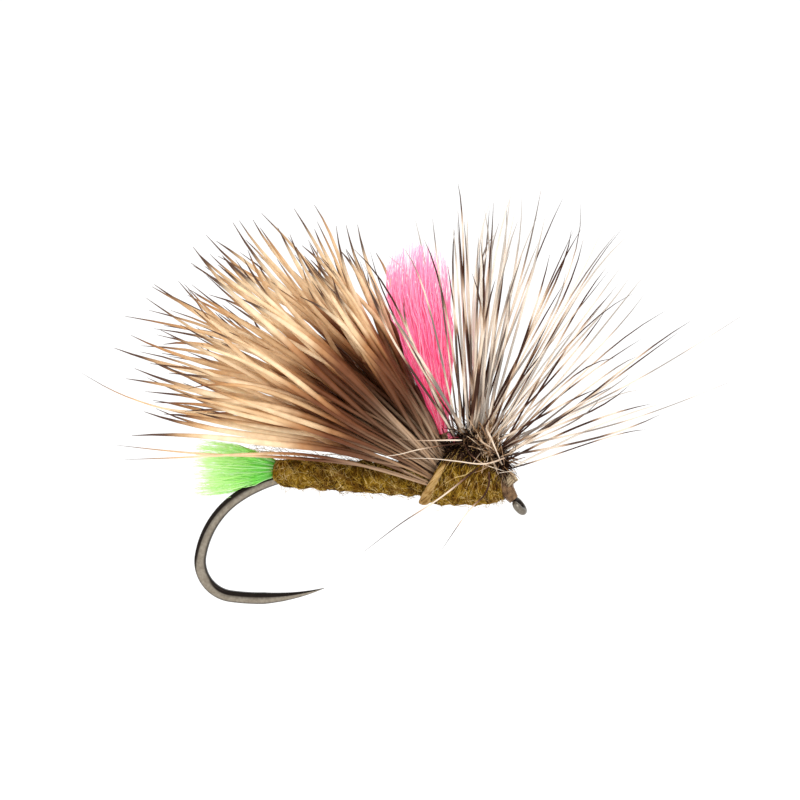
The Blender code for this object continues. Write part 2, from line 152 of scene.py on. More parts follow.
# an even run of points on the Catmull-Rom curve through a route's own points
def smoothRoute(route, count):
    route = np.asarray(route, dtype=float)
    padded = np.vstack([2 * route[0] - route[1], route, 2 * route[-1] - route[-2]])
    t = evenly(41)[None, :-1, None]
    a, b, c, d = (padded[k:len(padded) - 3 + k][:, None] for k in range(4))
    fine = 0.5 * (2 * b + (c - a) * t + (2 * a - 5 * b + 4 * c - d) * t ** 2
                  + (3 * b - a - 3 * c + d) * t ** 3)
    fine = np.vstack([fine.reshape(-1, route.shape[1]), route[-1:]])
    travelled = np.concatenate([[0], np.cumsum(np.linalg.norm(np.diff(fine, axis=0), axis=1))])
    wanted = np.linspace(0, travelled[-1], count)
    return np.column_stack([np.interp(wanted, travelled, fine[:, i]) for i in range(route.shape[1])])


# values kept at the marks along a line, read at any share t of it
def readAlong(t, marks, values):
    return np.stack([np.interp(t, marks, values[:, i]) for i in range(3)], axis=-1)


# many cubic Bezier curves at once: strand by step by xyz
def bends(start, pullOne, pullTwo, end, steps):
    t = evenly(steps)[None, :, None]
    s = 1 - t
    return (s ** 3 * start[:, None] + 3 * s ** 2 * t * pullOne[:, None] + 3 * s * t ** 2 * pullTwo[:, None]
            + t ** 3 * end[:, None])


# faces over tubes of rings: walls between neighbouring rings, and one face over each end
def tubeFaces(count, steps, sides):
    index = np.arange(count * steps * sides).reshape(count, steps, sides)
    onward = np.roll(index, -1, axis=2)
    walls = np.stack([index[:, :-1], onward[:, :-1], onward[:, 1:], index[:, 1:]], axis=-1).reshape(-1, 4)
    return [walls, np.vstack([index[:, 0, ::-1], index[:, -1]])]


# Each strand is a ring of corners carried along its path: corner k stands at radius * (cos k * side
# + sin k * rise), side and rise square to the path. Its traits, one number apiece, feed its material.
def layStrands(name, paths, radii, tones, finish, slot, *nodes, sides=4, flatness=1.0, lean=left, **others):
    count, steps = paths.shape[:2]
    tangents = unit(np.gradient(paths, axis=1))
    side = unit(np.cross(lean, tangents))
    rise = np.cross(tangents, side)
    turn = 2 * np.pi * np.arange(sides) / sides
    ring = np.cos(turn)[:, None] * side[:, :, None] + flatness * np.sin(turn)[:, None] * rise[:, :, None]
    points = (paths[:, :, None] + radii[:, :, None, None] * ring).reshape(-1, 3)
    traits = dict(along=np.tile(np.repeat(evenly(steps), sides), count))
    for trait, values in dict(tone=tones, **others).items():
        traits[trait] = np.repeat(values, steps * sides)
    settle(putMesh(name, points, tubeFaces(count, steps, sides), traits), finish, slot, *nodes)


# every finished piece takes its material, rides on the one body and stands for its CAD nodes
def settle(piece, material, slot, *nodes):
    piece.data.materials.append(material)
    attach(piece, "root")
    if nodes:
        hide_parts(*nodes)


white = (255, 255, 255)
black = (0, 0, 0)


# colours are named by how they look on a screen, 0 to 255, and turned to linear light here
def tint(red, green, blue):
    shown = np.array([red, green, blue]) / 255.0
    linear = np.where(shown <= 0.04045, shown / 12.92, ((shown + 0.055) / 1.055) ** 2.4)
    return (*linear.tolist(), 1.0)


# a material and short ways to add and join its nodes
class Finish:
    def __init__(self, name, roughness, metallic=0.0, specular=0.5, sheen=0.0):
        self.material = bpy.data.materials.new(name)
        self.material.use_nodes = True
        self.nodes = self.material.node_tree.nodes
        self.join = self.material.node_tree.links.new
        self.shader = self.nodes["Principled BSDF"]
        self.shader.inputs["Roughness"].default_value = roughness
        self.shader.inputs["Metallic"].default_value = metallic
        self.shader.inputs["Specular IOR Level"].default_value = specular
        self.shader.inputs["Sheen Weight"].default_value = sheen

    # each socket takes either a fixed value or another node's output
    def feed(self, sockets, values):
        for socket, value in zip(sockets, values):
            if isinstance(value, (int, float, tuple)):
                socket.default_value = value
            else:
                self.join(value, socket)

    def trait(self, name):
        node = self.nodes.new("ShaderNodeAttribute")
        node.attribute_name = name
        return node.outputs["Fac"]

    def sum(self, operation, first, second):
        node = self.nodes.new("ShaderNodeMath")
        node.operation = operation
        self.feed(node.inputs, (first, second))
        return node.outputs[0]

    def ramp(self, source, stops, soft=True):
        node = self.nodes.new("ShaderNodeValToRGB")
        node.color_ramp.interpolation = "EASE" if soft else "LINEAR"
        marks = node.color_ramp.elements
        while len(marks) < len(stops):
            marks.new(0.5)
        for mark, (place, *colour) in zip(marks, stops):
            mark.position = place
            mark.color = tint(*colour)
        self.join(source, node.inputs["Fac"])
        return node.outputs["Color"]

    def noise(self, scale, detail):
        place = self.nodes.new("ShaderNodeTexCoord")
        grain = self.nodes.new("ShaderNodeTexNoise")
        grain.inputs["Scale"].default_value = scale / mm
        grain.inputs["Detail"].default_value = detail
        self.join(place.outputs["Object"], grain.inputs["Vector"])
        return grain.outputs["Fac"]

    def blend(self, share, first, second, kind="MIX"):
        node = self.nodes.new("ShaderNodeMix")
        node.data_type = "RGBA"
        node.blend_type = kind
        self.feed((node.inputs[0], node.inputs[6], node.inputs[7]), (share, first, second))
        return node.outputs[2]

    def colour(self, outgoing):
        self.join(outgoing, self.shader.inputs["Base Color"])

    def bump(self, height, strength, depth):
        node = self.nodes.new("ShaderNodeBump")
        node.inputs["Strength"].default_value = strength
        node.inputs["Distance"].default_value = depth * mm
        self.join(height, node.inputs["Height"])
        self.join(node.outputs["Normal"], self.shader.inputs["Normal"])


# deer hair runs from taupe at the root through dark brown and golden tan to a near-black tip
def deerHairFinish():
    finish = Finish("deerHair", roughness=0.5, specular=0.22)
    along = finish.trait("along")
    shifted = finish.sum("ADD", along, finish.sum("MULTIPLY", finish.trait("tone"), 0.10))
    bands = finish.ramp(shifted, [
        (0.00, 156, 132, 110), (0.07, 112, 82, 60), (0.16, 94, 57, 34), (0.38, 116, 68, 38),
        (0.47, 184, 134, 90), (0.55, 246, 216, 176), (0.74, 254, 230, 194), (0.83, 234, 192, 144),
        (0.94, 176, 122, 76),
    ], soft=False)
    tipward = finish.sum("ADD", along, finish.sum("MULTIPLY", finish.trait("shade"), 0.10))
    darkened = finish.ramp(tipward, [(0.86, *black), (0.93, 150, 150, 150), (1.0, 250, 250, 250)])
    bands = finish.blend(darkened, bands, tint(72, 46, 36))
    rootward = finish.ramp(along, [(0.0, *white), (0.16, *white), (0.38, *black)])
    share = finish.sum("MULTIPLY", rootward, finish.trait("paleRoot"))
    pale = finish.blend(share, bands, tint(180, 152, 126))
    lightness = finish.ramp(finish.trait("shade"), [
        (0.0, 226, 210, 192), (0.4, 246, 240, 232), (1.0, *white)])
    streaks = finish.ramp(finish.noise(3.0, 3.0), [(0.3, 238, 234, 230), (0.7, *white)])
    finish.colour(finish.blend(1.0, finish.blend(1.0, pale, lightness, "MULTIPLY"), streaks, "MULTIPLY"))
    return finish.material


# a grizzly barb is barred: near-black brown and cream by turns, always dark at its tip
def grizzlyFinish():
    finish = Finish("grizzlyBarb", roughness=0.6, specular=0.1)
    fromTip = finish.sum("SUBTRACT", 1.0, finish.trait("along"))
    turns = finish.sum("MULTIPLY", fromTip, finish.trait("bars"))
    phase = finish.sum("FRACT", finish.sum("ADD", turns, finish.trait("tone")), 0.0)
    bars = finish.ramp(phase, [
        (0.00, 104, 74, 56), (0.06, 56, 34, 24), (0.46, 72, 44, 32), (0.57, 184, 154, 128),
        (0.66, 234, 216, 196), (0.86, 226, 204, 180), (0.97, 132, 100, 76),
    ], soft=False)
    finish.colour(finish.blend(finish.trait("pale"), bars, tint(242, 232, 218)))
    return finish.material


# fur strands take their tone from an olive-brown range, with a fine grain along them
def furFinish(name, tones, gap=(186, 166, 136)):
    finish = Finish(name, roughness=0.9, specular=0.08)
    base = finish.ramp(finish.trait("tone"), tones, soft=False)
    grain = finish.ramp(finish.noise(2.8, 4.0), [(0.36, *gap), (0.58, *white)])
    finish.colour(finish.blend(1.0, base, grain, "MULTIPLY"))
    return finish.material


paintedGlow = 0.14     # fluorescent dye gives back a little more light than falls on it; this emission is also a painted glow that lifts the yarn's shaded filaments


# yarn is deepest at its root and paler where the filaments spread
def yarnFinish(name, stops, lightest):
    finish = Finish(name, roughness=0.45, specular=0.4, sheen=0.2)
    base = finish.ramp(finish.trait("along"), stops, soft=False)
    glint = finish.ramp(finish.trait("tone"), [(0.35, *black), (1.0, 190, 190, 190)])
    dyed = finish.blend(glint, base, tint(*lightest))
    finish.colour(dyed)
    # painted glow: the yarn gives off light in its own dyed colour
    finish.join(dyed, finish.shader.inputs["Emission Color"])
    finish.shader.inputs["Emission Strength"].default_value = paintedGlow
    return finish.material


# black-nickel wire with a painted reflection: painted dark on its rounded edges, lighter grey on the forged
# flats, brushed along
def nickelFinish():
    finish = Finish("blackNickel", roughness=0.34, metallic=0.85)
    # the painted reflection's colours, from painted dark edge to lighter flat
    paintedReflectionColours = finish.ramp(finish.trait("paintedReflection"), [
        (0.20, 30, 23, 19), (0.50, 78, 71, 62), (0.76, 126, 119, 108), (0.98, 147, 138, 124)])
    brushed = finish.ramp(finish.noise(9.0, 4.0), [(0.30, 222, 218, 214), (0.70, *white)])
    finish.colour(finish.blend(1.0, paintedReflectionColours, brushed, "MULTIPLY"))
    finish.bump(finish.noise(7.0, 3.0), 0.15, 0.01)
    return finish.material


# wound thread has fine light and dark streaks
def threadFinish(name, dark, light):
    finish = Finish(name, roughness=0.5, specular=0.4)
    finish.colour(finish.ramp(finish.noise(5.0, 3.0), [(0.3, *dark), (0.7, *light)]))
    finish.bump(finish.noise(16.0, 2.0), 0.3, 0.01)
    return finish.material


# the hook is one wire from the eye's free end to the needle point
hookWire = dict(
    shankHeight=0.95, shankRadius=0.22, eyeDrop=50.0, ringRadius=0.31, eyeRadius=0.155, eyeOpen=90.0,
    neckRadius=0.5, bendStart=-8.72, arcs=((5.74, 36.6), (4.03, 43.5), (1.45, 94.6), (9.40, 25.4)),
    halfHeight=0.245, halfWidth=0.17, squareness=3.6, pointLength=2.7, pointRadius=0.012, sides=48,
)
eyeDrop = math.radians(hookWire["eyeDrop"])
downNeck = np.array([math.cos(eyeDrop), 0.0, -math.sin(eyeDrop)])
offNeck = np.array([math.sin(eyeDrop), 0.0, math.cos(eyeDrop)])      # square to the eye's ring


# Straight and round runs laid end to end in the midplane: the heading turns evenly along each
# run, and a point is the running sum of short steps along the heading.
def layRuns(start, heading, runs, step=0.05):
    lengths = np.array([length for length, _ in runs])
    turns = np.array([turn for _, turn in runs])
    ends = np.concatenate([[0], np.cumsum(lengths)])
    headings = heading + np.concatenate([[0], np.cumsum(turns)])
    s = np.arange(0, ends[-1] + step / 2, step)
    middles = np.interp(s[:-1] + step / 2, ends, headings)
    moves = step * np.column_stack([np.cos(middles), np.zeros(len(middles)), np.sin(middles)])
    return np.vstack([start, start + np.cumsum(moves, axis=0)]), np.interp(s, ends, headings)


# the ring round the eye, an easing run into the neck, then the neck, shank and bend
def wirePath():
    w = hookWire
    halfTurn = math.pi - math.radians(w["eyeOpen"]) / 2
    angles = np.linspace(-halfTurn, halfTurn, 60)[:, None]
    ring = w["ringRadius"] * (np.cos(angles) * downNeck + np.sin(angles) * left)
    leaving = -math.sin(halfTurn) * downNeck + math.cos(halfTurn) * left
    foot = -0.62 * downNeck
    ease = bends(ring[-1:], ring[-1:] + 0.3 * leaving, foot[None] + 0.3 * downNeck, foot[None], 12)[0, 1:]
    rise = w["neckRadius"] * (1 - math.cos(eyeDrop))
    neck = (w["shankHeight"] - rise - foot[2]) / math.sin(eyeDrop)
    shankStart = foot[0] - neck * math.cos(eyeDrop) - w["neckRadius"] * math.sin(eyeDrop)
    arcs = [(radius * math.radians(turn), math.radians(turn)) for radius, turn in w["arcs"]]
    runs = [(neck, 0), (w["neckRadius"] * eyeDrop, eyeDrop), (shankStart - w["bendStart"], 0)] + arcs
    wire, headings = layRuns(foot, math.pi - eyeDrop, runs)
    rises = np.column_stack([np.sin(headings), np.zeros(len(headings)), -np.cos(headings)])
    eye = np.vstack([ring, ease])
    path = np.vstack([eye, wire[1:]])
    rises = np.vstack([np.tile(offNeck, (len(eye), 1)), rises[1:]])
    return path, rises, len(eye), sum(length for length, _ in arcs)


# The section is a superellipse: round on the shank, squarer and taller on the forged bend.
def makeHook(nickel):
    w = hookWire
    path, rises, eyeCount, bendLength = wirePath()
    s = np.concatenate([[0], np.cumsum(np.linalg.norm(np.diff(path, axis=0), axis=1))])
    end = s[-1]
    eyeEnd = s[eyeCount - 1]
    forge = end - bendLength
    point = w["pointLength"]
    keys = (0, 0.03, 0.2, eyeEnd, eyeEnd + 0.7, forge + 1.5, forge + 2.6, end - point, end - 0.7 * point,
            end - 0.3 * point, end)
    stem = [0.05, 0.11, w["eyeRadius"], w["eyeRadius"], w["shankRadius"], w["shankRadius"]]
    tall = np.interp(s, keys, [*stem, *w["halfHeight"] * np.array((1, 1, 0.76, 0.37)), w["pointRadius"]])
    wide = np.interp(s, keys, [*stem, *w["halfWidth"] * np.array((1, 1, 0.8, 0.45)), w["pointRadius"]])
    square = np.interp(s, keys, (2, 2, 2, 2, 2, 2, w["squareness"], w["squareness"], 3, 2.4, 2))
    tangents = unit(np.gradient(path, axis=0))
    rises = unit(rises - (rises * tangents).sum(axis=1, keepdims=True) * tangents)
    side = np.cross(rises, tangents)
    turn = 2 * np.pi * (np.arange(w["sides"]) + 0.5) / w["sides"]
    power = (2 / square)[:, None]
    across = np.sign(np.cos(turn)) * np.abs(np.cos(turn)) ** power
    upper = np.sign(np.sin(turn)) * np.abs(np.sin(turn)) ** power
    rings = (path[:, None] + (wide[:, None] * across)[..., None] * side[:, None]
             + (tall[:, None] * upper)[..., None] * rises[:, None])
    # painted reflection: the flats are lighter and fade into painted dark edges, and the edge that faces up
    # and back is painted darker and broader
    skyward = upper * (rises @ np.array([-0.40, 0.0, 0.92]))[:, None]
    sky = np.clip((skyward - 0.06) / 0.30, 0, 1)
    paintedReflection = np.clip(2.2 * (1 - np.abs(upper)), 0, 1) ** 0.5 * (1 - 0.9 * sky * sky * (3 - 2 * sky))
    eye = s < eyeEnd + 0.5
    paintedReflection[eye] = 0.72 - 0.6 * np.clip(across[eye], 0, 1) ** 0.7    # plain grey, with painted shade inside the eye's hole
    piece = putMesh("hookWire", rings.reshape(-1, 3), tubeFaces(1, *paintedReflection.shape), dict(paintedReflection=paintedReflection.ravel()))
    settle(piece, nickel, "black_nickel", "hook")
    print("hook done")


abdomen = dict(rear=-10.42, front=-3.7, rearHeight=1.05, height=0.97, rearRadius=0.53, frontRadius=0.70,
               pitch=0.75, ridge=0.05, lump=0.05)
# a thorax station is its x, height, half width, half height and lean
thorax = dict(pitch=0.6, ridge=0.06, lump=0.06, stations=(
    (-3.52, 1.15, 0.94, 1.02, 0.52), (-3.30, 1.17, 1.06, 1.12, 0.48), (-2.74, 1.18, 1.12, 1.18, 0.36),
    (-2.10, 1.16, 1.09, 1.16, 0.22), (-1.55, 1.10, 1.00, 1.07, 0.10), (-1.05, 0.98, 0.80, 0.88, 0.02),
    (-0.66, 0.84, 0.46, 0.56, -0.05)))


# smooth random bumps: a few waves along and round the body, each with its own size and phase
def lumps(along, turn, dice, waves=14, finest=9.0):
    total = 0
    for _ in range(waves):
        size = dice.uniform(0.4, 1.0)
        phase = dice.uniform(1.0, finest) * along + dice.integers(1, 7) * turn + dice.uniform(0, 2 * np.pi)
        total = total + size * np.sin(phase)
    return total / math.sqrt(waves)


# a fur skin is its centre line, outward direction and radius: the abdomen's radius grows
# toward the front, and the wound noodle stands on it as slanting ridges
def abdomenSkin(x, turn, dice):
    a = abdomen
    share = np.clip((x - a["rear"]) / (a["front"] - a["rear"]), 0, 1)
    ends = np.clip(np.minimum(x - a["rear"], a["front"] - x) / 0.28, 0, 1)
    radius = a["rearRadius"] + share ** 1.3 * (a["frontRadius"] - a["rearRadius"])
    ridges = np.abs(np.cos(np.pi * (x / a["pitch"] - turn / (2 * np.pi))))
    radius = radius * np.sqrt(0.55 + 0.45 * ends) + a["ridge"] * (ridges - 0.6)
    radius = radius + a["lump"] * lumps(x, turn, dice)
    height = np.interp(x, (a["rear"], a["rear"] + 0.9), (a["rearHeight"], a["height"]))
    outward = np.stack([0 * x, np.cos(turn), np.sin(turn)], axis=-1)
    centre = np.stack([x, 0 * x, height], axis=-1)
    return centre, outward, radius


# the thorax runs through its stations, its sections leaning back over the wing
def thoraxSkin(u, turn, dice):
    t = thorax
    x, height, wide, tall, lean = (np.interp(u, evenly(len(t["stations"])), column)
                                   for column in np.array(t["stations"]).T)
    ridges = np.abs(np.cos(np.pi * (x / t["pitch"] + turn / (2 * np.pi))))
    swell = 1 + t["ridge"] * (ridges - 0.6) + t["lump"] * lumps(2 * x, turn, dice)
    outward = np.stack([lean * tall * np.sin(turn), wide * np.cos(turn), tall * np.sin(turn)], axis=-1)
    centre = np.stack([x, 0 * x, height], axis=-1)
    size = np.linalg.norm(outward, axis=-1)
    return centre, outward / size[..., None], size * swell


# Fur strands lie like wound wool: each runs along and round the skin from a random start, and
# stands off it by a height that swells in the middle or lifts at the end.
def furPaths(skin, seed, count, low, high, reach, sweep, stand, loose, steps=7):
    dice = default_rng(seed)
    t = evenly(steps)[None]
    first = dice.uniform(low, high, (count, 1))
    turn = dice.uniform(0, 2 * np.pi, (count, 1))
    along = first + t * dice.normal(0.3, 0.8, (count, 1)) * reach
    way = dice.choice([-1.0, 1.0], (count, 1), p=[0.25, 0.75])      # three strands in four follow the winding
    turn = turn + t * way * dice.uniform(0.4, 1.0, (count, 1)) * sweep
    phase = t * dice.uniform(3, 9, (count, 1))
    turn = turn + 0.12 * np.sin(phase + dice.uniform(0, 6, (count, 1)))
    along = np.clip(along, low, high)
    centre, outward, radius = skin(along, turn)
    lift = stand * dice.uniform(0.2, 1.0, (count, 1)) * np.sin(np.pi * t) ** 0.7
    lift = lift + loose * dice.uniform(0, 1, (count, 1)) ** 2.2 * t ** 1.6
    return centre + (radius + lift - 0.02)[..., None] * outward, dice


# painted shade: dubbing darkens toward its top, where it lies under the wing and the hackle
def topShade(z):
    return np.clip((z - 1.4) / 0.7, 0, 1)


# a solid core carries matted strands, and fine fuzz stands off them
def makeFurBody(name, skinOf, low, high, fur, node, seed, reach, matted, fuzzy):
    def skin(along, turn):
        return skinOf(along, turn, default_rng(seed + 1))

    u, turn = np.meshgrid(np.linspace(low, high, 120), 2 * np.pi * np.arange(56) / 56, indexing="ij")
    centre, outward, radius = skin(u, turn)
    rings = centre + radius[..., None] * outward
    # both ends draw in to a small closing ring
    ends = [0.92, 0.6, 0.08]
    rear = np.stack([centre[0] + share * (rings[0] - centre[0]) for share in ends[::-1]])
    front = np.stack([centre[-1] + share * (rings[-1] - centre[-1]) for share in ends])
    rings = np.concatenate([rear, rings, front])
    points = rings.reshape(-1, 3)
    tone = 0.32 + 0.12 * lumps(3 * points[:, 0], 2 * points[:, 2], default_rng(seed + 2))
    tone = tone - 0.3 * topShade(points[:, 2])
    core = putMesh(name, points, tubeFaces(1, *rings.shape[:2]), dict(tone=tone))
    settle(core, fur, "olive_dubbing", node)

    paths, dice = furPaths(skin, seed + 3, matted, low, high, reach, 1.5, stand=0.06, loose=0.07)
    fade = 0.3 + 0.7 * np.sin(np.pi * np.linspace(0.06, 0.94, 7))
    radii = dice.uniform(0.010, 0.024, (matted, 1)) * fade
    patches = 0.36 * lumps(2.5 * paths[:, 3, 0], 2.5 * paths[:, 3, 2], default_rng(seed + 6))
    tones = np.clip(dice.normal(0.46, 0.25, matted) + patches - 0.5 * topShade(paths[:, 3, 2]), 0, 1)
    layStrands(name + "Strands", paths, radii, tones, fur, "olive_dubbing")

    paths, dice = furPaths(skin, seed + 4, fuzzy, low, high, reach, 1.0, stand=0.13, loose=0.40, steps=9)
    paths = paths + 0.03 * np.sin(6 * paths[..., ::-1] + dice.uniform(0, 6, (fuzzy, 1, 1)))
    radii = dice.uniform(0.004, 0.009, (fuzzy, 1)) * np.ones(9)
    tones = np.clip(dice.normal(0.82, 0.15, fuzzy), 0, 1)
    layStrands(name + "Fuzz", paths, radii, tones, fur, "olive_dubbing", sides=3)
    print(name, "done")


looseFibres = dict(count=44, rear=-10.3, front=-5.6, steps=16)


# a few long fibres have worked loose along the back and curl away toward the tag
def makeLooseFibres(fur):
    f = looseFibres
    dice = default_rng(81)
    count = f["count"]
    steps = f["steps"]
    x = dice.uniform(f["rear"], f["front"], count)
    y = dice.uniform(-0.55, 0.4, count)
    roots = np.column_stack([x, y, 1.0 + 0.55 * np.sqrt(1 - y ** 2)])
    back = dice.uniform(0.6, 2.8, count)
    aside = dice.normal(0, 0.4, count)
    tips = roots + np.column_stack([-back, aside, dice.uniform(-0.1, 0.75, count)])
    loop = dice.normal(0, 0.45, (count, 3)) + 0.35 * up
    paths = bends(roots, roots + loop - 0.2 * ahead, tips - loop + 0.5 * up, tips, steps)
    phase = dice.uniform(0, 6, (count, 1, 3))
    paths = paths + 0.04 * np.sin(np.linspace(0, 9, steps)[None, :, None] + phase)
    radii = dice.uniform(0.006, 0.010, (count, 1)) * np.ones(steps)
    tones = dice.uniform(0.5, 1, count)
    layStrands("abdomenLooseFibres", paths, radii, tones, fur, "olive_dubbing", sides=3)


# The first turn of the thorax noodle is tan and lies aslant over the roots of the wing: its
# strands run round a leaning ring, each at its own place in the ring's round section.
rearTurn = dict(x=-3.32, slope=0.56, wide=1.09, tall=1.10, height=1.17, thick=0.17, strands=700)


def makeRearTurn(fur):
    r = rearTurn
    dice = default_rng(71)
    each = (r["strands"], 1)
    t = evenly(9)[None]
    start = dice.uniform(140, 342, each)
    turn = np.radians(start + t * dice.uniform(15, 60, each))
    spin = dice.uniform(0, 2 * np.pi, each) + 2.2 * t
    # the ring thins to nothing at 128 and 390 degrees round
    ends = np.clip(np.sin(np.pi * (np.degrees(turn) - 128) / 262), 0.12, 1) ** 0.7
    off = r["thick"] * ends * np.sqrt(dice.uniform(0.2, 1, each))
    rise = (r["tall"] + off * np.sin(spin)) * np.sin(turn)
    paths = np.stack([r["x"] + r["slope"] * rise + 1.3 * off * np.cos(spin),
                      (r["wide"] + off * np.sin(spin)) * np.cos(turn), r["height"] + rise], axis=-1)
    radii = dice.uniform(0.018, 0.04, each) * np.ones(9)
    tones = dice.uniform(0.55, 1.0, r["strands"])
    layStrands("thoraxRearTurn", paths, radii, tones, fur, "tan_dubbing", "thorax_rear_turn")


wing = dict(apex=(-2.7, 0.0, 1.62), lifts=(172.6, 116.5), swing=24.0, rows=5, columns=3, perLock=12,
            reach=(14.5, 14.5, 13.9, 11.0), gather=128.0, flare=0.30, wave=0.12, steps=17, thick=0.130,
            profile=(0.38, 0.43, 0.68, 1.0, 0.98, 0.70, 0.42, 0.06), paleness=(1.4, 3.0, 4.0))


# where a hair leaves the thorax's rim: low on the flanks for low hairs, high for steep ones
def hairRoots(share, side):
    z = 1.45 + 0.95 * share - 0.50 * side ** 2 * (1 - 0.75 * share)
    x = -3.66 + 0.56 * (z - 1.17) - 0.25 * share ** 2
    return np.stack([x, (0.95 - 0.2 * share) * side, z], axis=-1)


# Hairs leave the wraps gathered and flare apart: the start leans from the straight line toward
# the gathered direction, and the tip leans away from it.
def makeWing(deerHair):
    w = wing
    lifts = np.linspace(*w["lifts"], w["rows"] + 1)
    swings = np.linspace(-w["swing"], w["swing"], w["columns"] + 1)
    along = evenly(w["steps"])
    upright = np.array([1.0, 0.45, 1.0])      # hairs wander less from side to side than up and down
    dice = default_rng(11)
    for lock in range(w["rows"] * w["columns"]):
        row, column = divmod(lock, w["columns"])
        count = w["perLock"]
        spread = lifts[row + 1] - lifts[row]
        lift = lifts[row] + spread * np.clip(dice.normal(0.5, 0.30, count), -0.02, 1.05)
        swing = swings[column] + 16.0 * dice.uniform(-0.1, 1.1, count)
        share = np.clip((lifts[0] - lift) / (lifts[0] - lifts[-1]), 0, 1)
        reach = np.interp(share, (0, 0.35, 0.7, 1), w["reach"])
        reach = reach * np.clip(dice.normal(0.90, 0.09, count), 0.66, 1.04)
        tips = np.array(w["apex"]) + reach[:, None] * aim(lift, swing)
        roots = hairRoots(share, swing / w["swing"]) + dice.normal(0, 0.06, (count, 3))
        chord = unit(tips - roots)
        gathered = aim(np.full(count, w["gather"]), 0.8 * swing)
        length = np.linalg.norm(tips - roots, axis=1, keepdims=True)
        flare = w["flare"] * dice.uniform(0.3, 1.4, (count, 1))
        leaving = unit(chord + flare * (gathered - chord))
        leaving = leaving + dice.normal(0, 0.13, (count, 3)) * upright
        arriving = unit(chord - 0.6 * flare * (gathered - chord))
        arriving = arriving + dice.normal(0, 0.18, (count, 3)) * upright
        roots = roots - 0.3 * unit(leaving)
        pullTwo = tips - 0.34 * length * arriving
        paths = bends(roots, roots + 0.36 * length * leaving, pullTwo, tips, w["steps"])
        # each hair also has its own slow wave, still at the root and free from there on
        size = dice.normal(0, w["wave"], (count, 1, 3)) * upright
        phase = along[:, None] * dice.uniform(5.0, 9.5, (count, 1, 1))
        wave = size * np.sin(phase + dice.uniform(0, 6.3, (count, 1, 1)))
        paths = paths + wave * np.clip(4 * along, 0, 1)[:, None]
        thick = w["thick"] * dice.uniform(0.78, 1.18, (count, 1))
        radii = thick * np.interp(along, (0, 0.12, 0.32, 0.48, 0.62, 0.78, 0.90, 1), w["profile"])
        # near-side hairs more often show a long pale root
        paleness = dice.uniform(0, 1, count) ** w["paleness"][column]
        tones = dice.uniform(-0.5, 0.5, count) - 1.45 * share
        layStrands(f"wingLock{lock + 1:02d}", paths, radii, tones, deerHair, "deer_hair",
                   f"wing_lock_{lock + 1:02d}", sides=6, flatness=0.85,
                   shade=dice.uniform(0, 1, count), paleRoot=paleness)
    print("wing done")


strayHairs = dict(thick=0.072, steps=30, routes=(
    ((-3.73, -1.0, 0.99), (-5.63, -1.25, 1.56), (-7.71, -1.5, 1.86), (-10.34, -1.75, 2.0),
     (-12.6, -2.0, 2.04), (-14.61, -2.25, 2.18), (-16.7, -2.5, 2.38)),
    ((-3.63, -1.05, 0.92), (-5.61, -1.36, 1.53), (-7.46, -1.67, 1.98), (-9.3, -1.97, 2.2),
     (-11.37, -2.28, 2.14), (-13.87, -2.59, 1.97), (-16.2, -2.9, 1.85)),
    ((-3.65, -1.0, 1.04), (-6.07, -1.2, 2.08), (-9.01, -1.4, 3.06), (-12.7, -1.6, 3.68),
     (-14.54, -1.8, 3.84), (-16.04, -2.0, 4.27), (-17.11, -2.2, 4.75), (-18.17, -2.4, 5.38)),
))


# a few hairs stand clear of the fan, each along a route of its own
def makeStrayHairs(deerHair):
    h = strayHairs
    radii = h["thick"] * np.interp(evenly(h["steps"]), (0, 0.3, 0.7, 1), (0.55, 1.0, 0.7, 0.06))[None]
    for number, route in enumerate(h["routes"], start=1):
        path = smoothRoute(route, h["steps"])[None]
        layStrands(f"wingStrayHair{number}", path, radii, -0.1, deerHair, "deer_hair",
                   f"wing_stray_hair_{number}", sides=8, shade=0.4, paleRoot=0.9)


butts = dict(count=60, rear=-3.7, front=-2.2)


# the hair's trimmed butts lie on the shank under the thorax, cut at a slant
def makeButts(deerHair):
    dice = default_rng(5)
    count = butts["count"]
    turn = dice.uniform(0, np.pi, count)
    out = dice.uniform(0.3, 0.62, count)
    y = out * np.cos(turn)
    z = 0.95 + out * np.sin(turn)
    start = np.column_stack([np.full(count, butts["rear"]), 0.9 * y, z - 0.05])
    cut = butts["front"] - 0.5 * out + dice.normal(0, 0.08, count)
    end = np.column_stack([cut, 1.15 * y, z + 0.12])
    paths = bends(start, start + 0.4 * ahead, end - 0.4 * ahead, end, 6)
    radii = dice.uniform(0.05, 0.08, (count, 1)) * np.ones(6)
    layStrands("wingButts", paths, radii, dice.uniform(-0.5, 0, count), deerHair, "deer_hair",
               "wing_butts", sides=6, shade=dice.uniform(0, 1, count), paleRoot=np.zeros(count))


# one long thread wound round a cone: a helix whose radius and axis change evenly from end to end
def wound(name, start, end, radii, thread, turns, finish, slot, node, heights=None):
    steps = turns * 18
    t = evenly(steps)[:, None]
    heights = heights or radii
    axis = unit(np.array(end) - np.array(start))
    across = unit(np.cross(left, axis))
    angle = 2 * np.pi * turns * t
    profile = np.interp(t, evenly(len(radii)), radii)
    stretch = np.interp(t, evenly(len(heights)), heights)
    centre = np.array(start) + t * (np.array(end) - np.array(start))
    path = centre + profile * np.sin(angle) * left + stretch * np.cos(angle) * across
    thick = np.full((1, steps), thread)
    layStrands(name, path[None], thick, 0.5, finish, slot, node, sides=6, lean=axis)


# start, end, radii, the thread's own radius and the number of turns
wraps = dict(
    tag=((-9.35, 0, 0.93), (-9.0, 0, 0.94), (0.39, 0.39), 0.02, 9),
    wing=((-3.3, 0, 1.17), (-2.9, 0, 1.17), (0.46, 0.46), 0.024, 9),
    head=((-0.74, 0, 0.92), (-0.20, 0, 0.25), (0.40, 0.34, 0.27, 0.19), 0.036, 13),
    sighter=((-3.10, 0, 2.72), (-3.18, 0, 2.94), (0.20, 0.18, 0.20), 0.026, 6),
)


